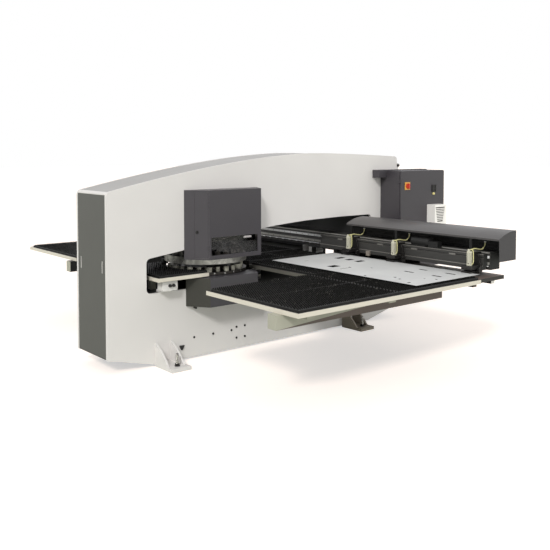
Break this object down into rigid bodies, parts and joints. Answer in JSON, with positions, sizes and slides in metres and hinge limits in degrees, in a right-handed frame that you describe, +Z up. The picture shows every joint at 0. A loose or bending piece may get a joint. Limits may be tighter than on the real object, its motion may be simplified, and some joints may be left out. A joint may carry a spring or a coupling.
{
  "type": "cnc turret punch press",
  "caption": "Turret punch press with an arched O-frame, covered tool turret, brush tables, hooded cross beam with sheet clamps and a side cabinet.",
  "frame": {"origin": "on the floor, under the middle of the near left foot plate", "axes": "+X along the frame to the right as seen from the operator's side, +Y away from that side through the frame, +Z up"},
  "size_m": [4.94, 5.591, 2.2371],
  "materials": {
    "frame_paint": "light warm grey semi-gloss enamel",
    "cover_grey": "mid grey satin enamel on the arched cover",
    "dark_paint": "dark grey semi-gloss enamel",
    "panel_paint": "dark warm grey satin enamel on the end panels",
    "inner_paint": "black enamel on inner sheet metal",
    "steel": "ground and oiled steel",
    "dark_steel": "blackened steel",
    "sheet_steel": "bright cold rolled sheet",
    "zinc": "bright zinc plating",
    "brush": "black nylon brush tufts in a black base",
    "edging": "light anodised edging",
    "support_paint": "grey green enamel on the table beams",
    "white_plastic": "white moulded plastic",
    "black_plastic": "black moulded plastic",
    "clear": "clear polycarbonate pane",
    "hose": "pale yellow polyurethane air hose",
    "alloy": "clear anodised aluminium",
    "red": "red moulded plastic",
    "yellow": "yellow moulded plastic",
    "cooler_paint": "light grey enamel",
    "lens": "pale yellow lamp lens",
    "lamp": "white lamp diffuser"
  },
  "bodies": {
    "frame": {"front_side_plate": "frame_paint", "rear_side_plate": "frame_paint", "top_cover": "cover_grey", "end_panels": "panel_paint", "end_trims": "frame_paint", "frame_linings": "inner_paint", "frame_webs": "frame_paint", "levelling_feet": "frame_paint", "levelling_bolts": "dark_steel", "face_plugs": "black_plastic", "lifting_lugs": "frame_paint", "turret_cover": "dark_paint", "cover_window": "clear", "cover_lamp": "lamp", "rear_covers": "dark_paint", "lower_housing": "dark_paint", "turret_bearings": "dark_steel", "ram_cylinder": "dark_steel", "turret_motor": "dark_paint", "table_trays": "inner_paint", "table_brushes": "brush", "table_edging": "edging", "table_supports": "support_paint", "junction_box": "white_plastic", "junction_plugs": "black_plastic", "saddle_rails": "steel", "beam_screw": "steel", "cabinet": "dark_paint", "cable_duct": "dark_paint"},
    "cover door": {"cover_door": "dark_paint"},
    "cover lock": {"cover_lock": "black_plastic"},
    "upper turret": {"upper_turret": "steel", "punch_holders": "steel"},
    "lower turret": {"lower_turret": "steel", "die_holders": "steel"},
    "striker": {"striker": "steel"},
    "cross beam": {"cross_beam": "inner_paint", "beam_rails": "steel", "beam_saddle": "inner_paint", "front_hood": "dark_paint", "rear_hood": "dark_paint"},
    "carriage": {"carriage_bar": "inner_paint", "runner_blocks": "dark_steel", "slot_blocks": "alloy", "carriage_motor": "black_plastic", "clamp_bodies": "dark_steel", "clamp_cylinders": "alloy", "clamp_hoses": "hose", "hose_fittings": "white_plastic", "workpiece": "sheet_steel"},
    "clamp jaw 1": {"clamp_jaw_1": "dark_steel"},
    "clamp jaw 2": {"clamp_jaw_2": "dark_steel"},
    "clamp jaw 3": {"clamp_jaw_3": "dark_steel"},
    "cabinet door": {"cabinet_door": "dark_paint", "switch_plate": "yellow", "latch_plate": "black_plastic", "door_lamp": "lens", "cooler": "cooler_paint"},
    "switch knob": {"switch_knob": "red"},
    "door handle": {"door_handle": "black_plastic"}
  },
  "joints": [
    {"name": "beam slide", "type": "slide", "parent": "frame", "child": "cross beam", "axis": [1, 0, 0], "range_m": [-1.13, 0.12]},
    {"name": "carriage slide", "type": "slide", "parent": "cross beam", "child": "carriage", "axis": [0, 1, 0], "range_m": [0, 2.5]},
    {"name": "upper turret spin", "type": "hinge", "parent": "frame", "child": "upper turret", "pos_m": [0.7635, 0.505, 1.1], "axis": [0, 0, 1], "continuous": true},
    {"name": "lower turret spin", "type": "hinge", "parent": "frame", "child": "lower turret", "pos_m": [0.7635, 0.505, 0.92], "axis": [0, 0, 1], "continuous": true},
    {"name": "striker stroke", "type": "slide", "parent": "frame", "child": "striker", "axis": [0, 0, 1], "range_m": [-0.04, 0]},
    {"name": "clamp jaw 1 pivot", "type": "hinge", "parent": "carriage", "child": "clamp jaw 1", "pos_m": [2.4985, -1.925, 1.0045], "axis": [0, 1, 0], "range_deg": [0, 6]},
    {"name": "clamp jaw 2 pivot", "type": "hinge", "parent": "carriage", "child": "clamp jaw 2", "pos_m": [2.4985, -0.878, 1.0045], "axis": [0, 1, 0], "range_deg": [0, 6]},
    {"name": "clamp jaw 3 pivot", "type": "hinge", "parent": "carriage", "child": "clamp jaw 3", "pos_m": [2.4985, -0.15, 1.0045], "axis": [0, 1, 0], "range_deg": [0, 6]},
    {"name": "cover door hinge", "type": "hinge", "parent": "frame", "child": "cover door", "pos_m": [0.41706, -0.05488, 1.45], "axis": [0, 0, 1], "range_deg": [0, 100]},
    {"name": "cover lock turn", "type": "hinge", "parent": "cover door", "child": "cover lock", "pos_m": [0.34274, 0.05271, 1.397], "axis": [-0.7958, -0.6055, 0], "range_deg": [0, 90]},
    {"name": "cabinet door hinge", "type": "hinge", "parent": "frame", "child": "cabinet door", "pos_m": [3.3655, -0.189, 1.35], "axis": [0, 0, -1], "range_deg": [0, 100]},
    {"name": "main switch turn", "type": "hinge", "parent": "cabinet door", "child": "switch knob", "pos_m": [3.5005, -0.18, 1.802], "axis": [0, 1, 0], "range_deg": [0, 90]},
    {"name": "door latch paddle", "type": "hinge", "parent": "cabinet door", "child": "door handle", "pos_m": [4.0205, -0.1895, 1.756], "axis": [0, 0, -1], "range_deg": [0, 40]}
  ],
  "couplings": [
    {"joint": "lower turret spin", "follows": "upper turret spin", "ratio": 1}
  ]
}
